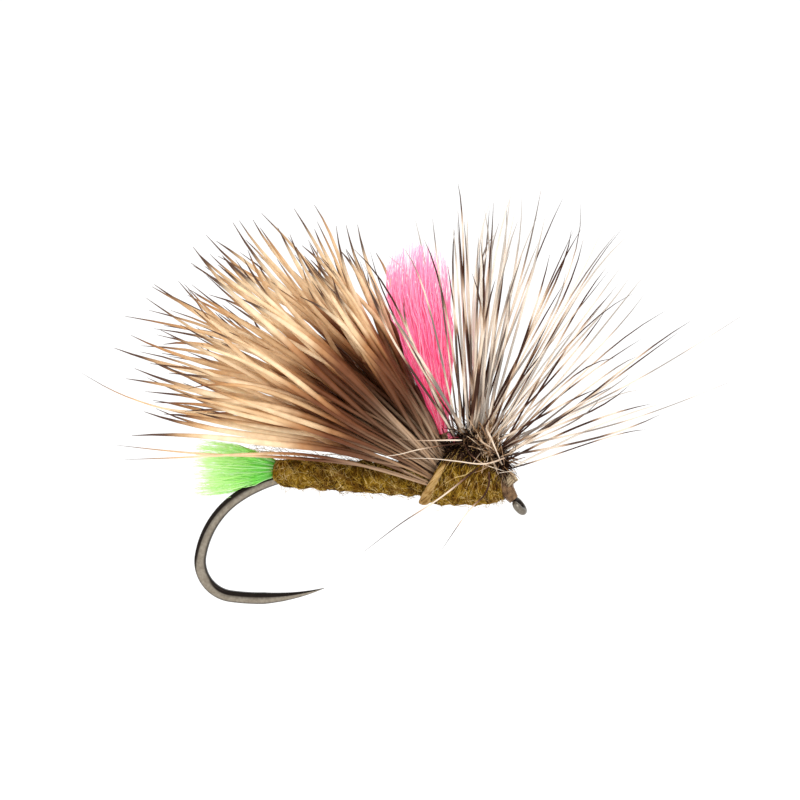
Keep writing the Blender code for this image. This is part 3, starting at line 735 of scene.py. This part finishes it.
def makeWraps(thread):
    for name, size in wraps.items():
        wound(f"{name}Wraps", *size, thread, "tying_thread", f"{name}_wraps",
              heights=(0.56, 0.56) if name == "wing" else None)     # the wing's wraps are taller than wide
    print("wraps done")


# A bundle keeps each filament at its own place in the section, which opens and closes along
# the path: point = centre + a * half across * side + b * half up * rise, with a and b in a disc.
def yarnBundle(centre, side, rise, halfSide, halfRise, dice, count, ragged, wave):
    steps = len(centre)
    spin = dice.uniform(0, 2 * np.pi, count)
    out = np.sqrt(dice.uniform(0, 1, count))
    a = (out * np.cos(spin))[:, None, None]
    b = (out * np.sin(spin))[:, None, None]
    reach = 1 - ragged * (0.75 * dice.uniform(0, 1, count) + 0.25 * (out * np.sin(spin)) ** 2)
    t = reach[:, None] * evenly(steps)[None]
    own = np.arange(steps) / (steps - 1)
    opened = np.interp(t, own, halfSide)[..., None]
    raised = np.interp(t, own, halfRise)[..., None]
    crimp = wave * np.sin(t[..., None] * dice.uniform(14, 30, (count, 1, 1))
                          + dice.uniform(0, 6.3, (count, 1, 3))) * np.minimum(1, 3 * t)[..., None]
    centre, side, rise = (readAlong(t, own, values) for values in (centre, side, rise))
    return centre + a * opened * side + b * raised * rise + crimp


sighter = dict(core=((-0.45, 1.45), (-0.95, 2.17), (-1.65, 2.68), (-2.3, 2.8), (-2.75, 2.66)),
               post=((-3.16, 2.78), (-3.40, 4.2), (-3.76, 5.85), (-4.04, 7.6), (-4.29, 8.7), (-4.26, 10.95)),
               foot=2.85, filaments=520, thick=0.020, coreFilaments=90, coreThick=0.022, steps=60,
               halfSide=(0.13, 0.14, 0.38, 0.70, 0.90), halfRise=(0.12, 0.18, 0.52, 0.95, 1.24, 1.40, 1.30))


def midplane(route):
    return np.array([(x, 0.0, z) for x, z in route])


# the same strands read at fewer, evenly spaced steps
def resample(paths, steps):
    old = evenly(paths.shape[1])
    new = evenly(steps)
    low = np.clip(np.searchsorted(old, new, side="right") - 1, 0, len(old) - 2)
    share = ((new - old[low]) / (old[low + 1] - old[low]))[None, :, None]
    return paths[:, low] * (1 - share) + paths[:, low + 1] * share


# one route serves both: the core drawn tight under the hackle, then the post opening as it climbs
def makeSighter(pink, shadedPink):
    s = sighter
    route = smoothRoute(midplane(s["core"] + s["post"]), s["steps"])
    climbed = np.clip((route[:, 2] - s["foot"]) / (s["post"][-1][1] - s["foot"]), 0, 1)
    climbed = climbed * (route[:, 0] < -2.95)
    halfSide = np.interp(climbed, (0, 0.06, 0.25, 0.6, 1), s["halfSide"])
    halfRise = np.interp(climbed, (0, 0.04, 0.18, 0.38, 0.6, 0.75, 1), s["halfRise"])
    side = np.tile(left, (s["steps"], 1))
    rise = np.cross(unit(np.gradient(route, axis=0)), side)
    dice = default_rng(21)
    start = int(np.argmax(route[:, 0] < -2.9))

    def bundle(part, *rest):
        shape = [values[part] for values in (route, side, rise, halfSide, halfRise)]
        return yarnBundle(*shape, dice, *rest)

    paths = resample(bundle(slice(start - 2, s["steps"]), s["filaments"], 0.36, 0.07), 11)
    fade = np.interp(evenly(11), (0, 0.8, 1), (1.0, 1.0, 0.45))
    radii = s["thick"] * dice.uniform(0.7, 1.3, (len(paths), 1)) * fade
    tones = dice.uniform(0, 1, len(paths))
    layStrands("sighterPost", paths, radii, tones, pink, "pink_yarn", "sighter_yarn")

    # the core takes a darker copy of the pink yarn: painted shade under the hackle
    count = s["coreFilaments"]
    paths = resample(bundle(slice(5, start), count, 0.0, 0.01), 10)
    radii = np.full((count, 10), s["coreThick"])
    layStrands("sighterCore", paths, radii, dice.uniform(0, 0.5, count), shadedPink, "pink_yarn")
    print("sighter done")


tag = dict(root=-9.9, mouth=-10.42, tip=-13.85, height=1.16, filaments=460, thick=0.012, steps=10,
           opening=(0.36, 0.47, 0.70, 0.95, 1.16), stubFilaments=60)


# The tag opens like a brush: a filament keeps its place in the section, half height and half
# width growing toward the tip, and is cut at its own length.
def makeTag(green):
    g = tag
    dice = default_rng(31)
    count = g["filaments"]
    x = evenly(g["steps"])
    spin = dice.uniform(0, 2 * np.pi, count)
    out = np.sqrt(dice.uniform(0, 1, count))
    rise = (out * np.sin(spin))[:, None]
    swing = (out * np.cos(spin))[:, None]
    reach = (1 - 0.34 * dice.uniform(0, 1, count) ** 1.6)[:, None]
    along = g["mouth"] + reach * x * (g["tip"] - g["mouth"])
    opened = np.interp(reach * x, (0, 0.08, 0.25, 0.5, 1), g["opening"])
    z = g["height"] + rise * opened * np.where(rise > 0, 1.06, 1.16) - 0.04 * x
    y = swing * opened * 0.8
    # filaments that would meet the wire, on the first round of its bend, pass to one side of it
    bend = hookWire["arcs"][0][0]
    past = np.minimum(along - hookWire["bendStart"], 0)
    wire = hookWire["shankHeight"] - bend + np.sqrt(np.maximum(bend ** 2 - past ** 2, 0))
    near = np.clip(1 - (z - wire - 0.25) / 0.5, 0, 1)
    y = y + np.where(y < -0.45 * opened, -1, 1) * 0.26 * near * np.minimum(1, 3 * x)
    paths = np.stack([along + 0 * z, y, z], axis=-1)
    # one filament in twenty stands well off the others
    unruly = dice.uniform(0, 1, (count, 1, 1)) < 0.05
    size = np.where(unruly, 0.22, dice.uniform(0.01, 0.07, (count, 1, 1)))
    phase = x[:, None] * dice.uniform(4, 11, (count, 1, 1))
    phase = phase + dice.uniform(0, 6.3, (count, 1, 3))
    paths = paths + size * np.sin(phase) * np.minimum(1, 3 * x)[:, None]
    fade = np.interp(x, (0, 0.3, 0.8, 1), (1.4, 1, 0.8, 0.5))
    radii = g["thick"] * dice.uniform(0.7, 1.4, (count, 1)) * fade
    layStrands("tagYarn", paths, radii, dice.uniform(0, 1, count), green, "green_yarn", "tag_yarn")

    # the stub under the dubbing
    count = g["stubFilaments"]

    def cut(x, wide, height, tall):
        y = dice.normal(0, wide, count)
        return np.column_stack([np.full(count, x), y, height + dice.normal(0, tall, count)])

    starts = cut(g["root"], 0.06, g["height"], 0.02)
    ends = cut(g["mouth"] - 0.1, 0.09, 1.17, 0.08)
    paths = bends(starts, starts - 0.2 * ahead, ends + 0.2 * ahead, ends, 5)
    radii = np.full((count, 5), 0.02)
    layStrands("tagStub", paths, radii, dice.uniform(0, 0.4, count), green, "green_yarn")
    print("tag done")


hackle = dict(apex=(-1.6, 0.0, 2.1), lifts=(12.0, 33.0, 54.0, 75.0, 96.0, 117.0),
              reach=(8.0, 10.4, 10.8, 11.0, 10.6), perCluster=(3, 4, 6, 12, 5),
              columns=((-35.0, -12.0), (-12.0, 12.0), (12.0, 35.0)), paleness=(-0.1, 0.12, 0.45),
              stemRadius=0.06, coilRadius=0.27, turns=6, steps=11, thick=0.068,
              profile=(0.70, 0.92, 0.90, 0.80, 0.58, 0.08))


# the point at a given share of the way along the yarn core
def corePoint(share):
    return readAlong(share, evenly(50), smoothRoute(midplane(sighter["core"]), 50))


# Barbs leave the wound stem: those of low lift from its front turns, steep ones from its rear.
def barbPaths(lift, swing, reach, dice):
    count = len(lift)
    share = np.clip(0.12 + 0.80 * (lift - 15) / 100 + dice.normal(0, 0.10, count), 0.02, 0.98)
    tips = np.array(hackle["apex"]) + reach[:, None] * aim(lift, swing)
    toward = unit(aim(lift, 1.6 * swing))
    roots = corePoint(share) + hackle["coilRadius"] * toward
    length = np.linalg.norm(tips - roots, axis=1, keepdims=True)
    heading = unit(tips - roots)
    bow = dice.normal(0, 0.03, (count, 1)) * up + dice.normal(0, 0.03, (count, 1)) * left
    curl = dice.normal(0.0, 0.055, (count, 3))
    roots = roots - 0.15 * toward
    pullTwo = tips - length * (0.3 * heading + curl)
    return bends(roots, roots + length * (0.34 * heading + bow), pullTwo, tips, hackle["steps"])


def makeHackle(grizzly):
    h = hackle
    dice = default_rng(41)
    profile = np.interp(evenly(h["steps"]), (0, 0.08, 0.3, 0.6, 0.85, 1), h["profile"])
    # the post stands where the middle of the last row would be
    cells = [(row, column) for row in range(5) for column in range(3) if (row, column) != (4, 1)]
    for number, (row, column) in enumerate(cells, start=1):
        reach = h["reach"][row]
        count = h["perCluster"][row] + (2 if column == 0 else 0)
        lift = dice.uniform(h["lifts"][row] - 1, h["lifts"][row + 1] + (7 if row == 4 else 1), count)
        swing = dice.uniform(*h["columns"][column], count)
        far = reach * dice.normal(0.95, 0.08, count)
        paths = barbPaths(lift, swing, np.clip(far, 0.6 * reach, 1.04 * reach), dice)
        # barbs on the far side of a feather turn their pale backs out
        pale = dice.normal(h["paleness"][column] + (0.10 if row > 2 else 0.0), 0.3, count)
        thick = h["thick"] * dice.uniform(0.6, 1.1, (count, 1)) * (0.82 if row < 3 else 1.0)
        tones = dice.uniform(-0.04, 0.16, count)
        layStrands(f"hackleBarbs{number:02d}", paths, thick * profile, tones, grizzly, "grizzly_barb",
                   f"hackle_barbs_{number:02d}", sides=5, flatness=0.7,
                   bars=dice.uniform(1.0, 2.5, count), pale=np.clip(pale, 0, 0.9))
    print("hackle done")


# lift, swing and reach of the longest barbs
reachingBarbs = ((28.8, 12.5, 12.2), (19.6, -12.5, 11.5), (118.9, -12.5, 10.4))
# two barbs hang down like legs
legBarbs = dict(
    leg_barb_rear=((-1.35, -1.05, 1.85), (-1.83, -1.2, 1.48), (-2.27, -1.3, 1.1), (-2.79, -1.45, 0.67),
                   (-3.38, -1.65, 0.24), (-4.62, -2.0, -0.59), (-6.15, -2.4, -1.8)),
    leg_barb_front=((-1.07, -1.0, 1.56), (-1.04, -1.12, 1.08), (-1.24, -1.2, 0.58), (-1.54, -1.35, 0.3),
                    (-2.0, -1.6, -0.26), (-2.8, -2.2, -1.53)),
)
# loose barbs across the thorax and the wing's roots: route, thickness, bars, phase and paleness
crossBarbs = (
    (((-0.41, -0.95, 2.17), (-1.25, -1.15, 1.92), (-2.46, -1.2, 2.01), (-3.49, -1.35, 2.1),
      (-4.64, -1.5, 2.1)), 0.036, 0.3, 0.62, 0.0),
    (((-2.25, -0.8, 2.82), (-2.88, -1.1, 2.85), (-3.93, -1.5, 2.87), (-4.81, -1.8, 2.98)),
     0.036, 0.2, 0.5, 0.0),
    (((-2.2, -0.8, 2.72), (-3.1, -1.15, 2.61), (-3.98, -1.5, 2.48), (-4.81, -1.75, 2.28),
      (-5.87, -1.9, 2.14)), 0.036, 0.7, 0.5, 0.0),
    (((-2.18, -0.7, 2.64), (-1.88, -0.95, 2.28), (-1.26, -1.1, 1.91), (-0.36, -0.75, 1.54)),
     0.034, 0.6, 0.6, 0.0),
    (((-1.3, -0.45, 3.31), (-0.95, -0.75, 2.74), (-0.55, -0.85, 1.89)), 0.06, 0.2, 0.62, 0.0),
    (((-0.74, -0.7, 1.48), (-0.24, -0.7, 1.56), (0.62, -0.8, 1.65)), 0.016, 0.2, 0.6, 0.4),
)


# a single barb tapers along a smooth route
def singleBarb(name, route, thick, tone, bars, pale, grizzly, *nodes):
    path = smoothRoute(route, 22)[None]
    radii = thick * np.interp(evenly(22), (0, 0.1, 0.4, 1), (0.7, 1, 0.75, 0.12))[None]
    layStrands(name, path, radii, tone, grizzly, "grizzly_barb", *nodes, sides=6, bars=bars, pale=pale)


def makeSingleBarbs(grizzly):
    for number, (lift, swing, reach) in enumerate(reachingBarbs, start=1):
        steps = np.linspace(1.3, reach, 6)[:, None]
        sag = -0.35 * np.sin(np.pi * (steps - 1.3) / (reach - 1.3)) * up
        route = np.array(hackle["apex"]) + steps * aim(lift, swing) + sag
        singleBarb(f"hackleReachingBarb{number}", route, 0.045, 0.2 * number, 3.2, 0.3, grizzly,
                   f"hackle_stray_barb_{number}")
    for node, route in legBarbs.items():
        bars, phase = (1.2, 0.0) if node == "leg_barb_rear" else (1.4, 0.1)
        singleBarb(node, route, 0.042, phase, bars, 0.0, grizzly, node)
    for number, (route, thick, bars, phase, pale) in enumerate(crossBarbs, start=1):
        singleBarb(f"hackleCrossBarb{number}", route, thick, phase, bars, pale, grizzly)


# dark web is thickest at the two ends of the winding; between them the barbs show their cream roots
web = dict(count=1200, thick=(0.014, 0.036), fade=0.25, off=0.15, outward=1.0, push=-0.85, longest=0.85,
           power=1.4, spray=0.45, bend=0.14)
webFoot = dict(place=(-2.85, 0.0, 2.2), size=(0.16, 0.22, 0.14), count=220, thick=(0.012, 0.030))
creamRoots = dict(count=420, thick=(0.02, 0.045), fade=0.3, off=0.26, outward=0.8, push=0.6, longest=1.6,
                  power=2, spray=0.35, bend=0.08)


# Short curved strands stand off the core. Each leaves at its own angle toward outward * sideways
# + push * up, strays from it by the spray, and is 0.3 + longest * a random share ** power long.
def standOff(tuft, share, dice):
    count = tuft["count"]
    angle = dice.uniform(0, 2 * np.pi, count)[:, None]
    sideways = np.cos(angle) * up + np.sin(angle) * left
    roots = corePoint(share) + tuft["off"] * sideways
    length = 0.3 + tuft["longest"] * dice.uniform(0, 1, (count, 1)) ** tuft["power"]
    heading = tuft["outward"] * sideways + tuft["push"] * up + dice.normal(0, tuft["spray"], (count, 3))
    tips = roots + length * unit(heading)
    bend = dice.normal(0, tuft["bend"], (count, 3))
    paths = bends(roots, roots * 0.6 + tips * 0.4 + bend, roots * 0.3 + tips * 0.7 - bend, tips, 6)
    return paths, dice.uniform(*tuft["thick"], (count, 1)) * np.linspace(1, tuft["fade"], 6)


# the stem is wound on the yarn core, and short web stands off it between the barbs
def makeStem(quill, darkWeb, creamWeb, paleQuill):
    h = hackle
    steps = h["turns"] * 20
    core = corePoint(np.linspace(0.12, 0.86, steps))
    outward = np.cross(unit(np.gradient(core, axis=0)), left)
    angle = np.linspace(0, 2 * np.pi * h["turns"], steps)[:, None]
    path = core + h["coilRadius"] * (np.cos(angle) * outward + np.sin(angle) * left)
    radii = np.full((1, steps), h["stemRadius"])
    layStrands("hackleStem", path[None], radii, 0.2, quill, "dark_quill", "hackle_stem",
               sides=8, lean=(1.0, 0.0, 0.3))

    dice = default_rng(51)
    count = web["count"]
    share = np.where(dice.uniform(0, 1, count) < 0.42, dice.normal(0.15, 0.06, count),
                     dice.normal(0.70, 0.12, count))
    paths, radii = standOff(web, np.clip(share, 0.08, 0.97), dice)
    layStrands("hackleWeb", paths, radii, dice.uniform(0, 1, count) ** 1.6, darkWeb, "dark_quill")

    # part of it lies flat on top of the thorax, dark strands that are painted shade under the hackle, and
    # part fills in round the foot of the post
    def skin(along, turn):
        return thoraxSkin(along, turn, default_rng(201))

    paths, low = furPaths(skin, 61, 3600, 0.08, 0.98, 0.22, 0.9, stand=0.12, loose=0.10, steps=6)
    paths = paths[paths[..., 2].min(axis=1) > 1.66]
    shape = (webFoot["count"], 3)
    roots = np.array(webFoot["place"]) + low.normal(0, 1, shape) * np.array(webFoot["size"])
    tips = roots + low.normal(0, 0.28, shape) + 0.12 * up
    bend = low.normal(0, 0.10, shape)
    paths = np.concatenate([paths, bends(roots, roots + bend, tips - bend, tips, 6)])
    radii = low.uniform(*webFoot["thick"], (len(paths), 1)) * np.ones(6)
    layStrands("hackleWebLowShade", paths, radii, low.uniform(0, 0.9, len(paths)) ** 2.4, darkWeb, "dark_quill")

    count = creamRoots["count"]
    share = np.clip(low.normal(0.44, 0.14, count), 0, 1)
    paths, radii = standOff(creamRoots, share, low)
    layStrands("hackleRoots", paths, radii, low.uniform(0, 1, count), creamWeb, "grizzly_barb")

    wound("hackleStemButt", (-0.25, 0, 0.90), (-0.67, 0, 1.30), (0.26, 0.31, 0.31, 0.24), 0.055, 6,
          paleQuill, "pale_quill", "hackle_stem_butt")
    print("stem done")


makeCamera()
makeStudio()

nickel = nickelFinish()
deerHair = deerHairFinish()
grizzlyBarb = grizzlyFinish()
oliveFur = furFinish("oliveFur", [
    (0.0, 70, 46, 4), (0.3, 118, 86, 12), (0.55, 158, 122, 34), (0.8, 188, 154, 74), (1.0, 214, 186, 128)])
tanFur = furFinish("tanFur", [(0.0, 92, 66, 24), (0.6, 156, 122, 68), (1.0, 198, 164, 112)], (226, 216, 200))
greenYarn = yarnFinish("greenYarn", [
    (0.0, 70, 178, 30), (0.22, 112, 218, 68), (0.5, 168, 234, 116), (1.0, 212, 246, 168)], (232, 252, 208))
pinkYarn = yarnFinish("pinkYarn", [
    (0.0, 196, 18, 56), (0.14, 232, 34, 90), (0.36, 250, 66, 126), (0.7, 254, 110, 164),
    (1.0, 255, 160, 200)], (255, 205, 224))
# a darker copy of the pink yarn, painted shade for the core drawn tight under the hackle
shadedPink = yarnFinish("shadedPinkYarn", [(0.0, 96, 14, 26), (1.0, 150, 22, 50)], (196, 50, 84))
brownThread = threadFinish("brownThread", (84, 56, 30), (140, 108, 74))
paleThread = threadFinish("paleThread", (140, 118, 88), (190, 170, 138))
darkQuill = threadFinish("darkQuill", (34, 22, 16), (72, 50, 38))
darkWeb = furFinish("darkWeb", [(0.0, 28, 16, 10), (0.6, 66, 42, 28), (1.0, 168, 136, 104)])
creamWeb = furFinish("creamWeb", [(0.0, 138, 104, 78), (0.4, 206, 174, 142), (1.0, 242, 220, 194)])

makeHook(nickel)
makeFurBody("abdomenDubbing", abdomenSkin, abdomen["rear"], abdomen["front"], oliveFur, "abdomen_dubbing",
            seed=100, reach=0.8, matted=3000, fuzzy=420)
makeFurBody("thoraxDubbing", thoraxSkin, 0.0, 1.0, oliveFur, "thorax_dubbing",
            seed=200, reach=0.22, matted=2800, fuzzy=380)
makeRearTurn(tanFur)
makeLooseFibres(oliveFur)
makeWing(deerHair)
makeStrayHairs(deerHair)
makeButts(deerHair)
makeWraps(brownThread)
makeSighter(pinkYarn, shadedPink)
makeTag(greenYarn)
makeHackle(grizzlyBarb)
makeSingleBarbs(grizzlyBarb)
makeStem(darkQuill, darkWeb, creamWeb, paleThread)
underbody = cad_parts["thread_underbody"].data.materials
underbody.clear()
underbody.append(brownThread)
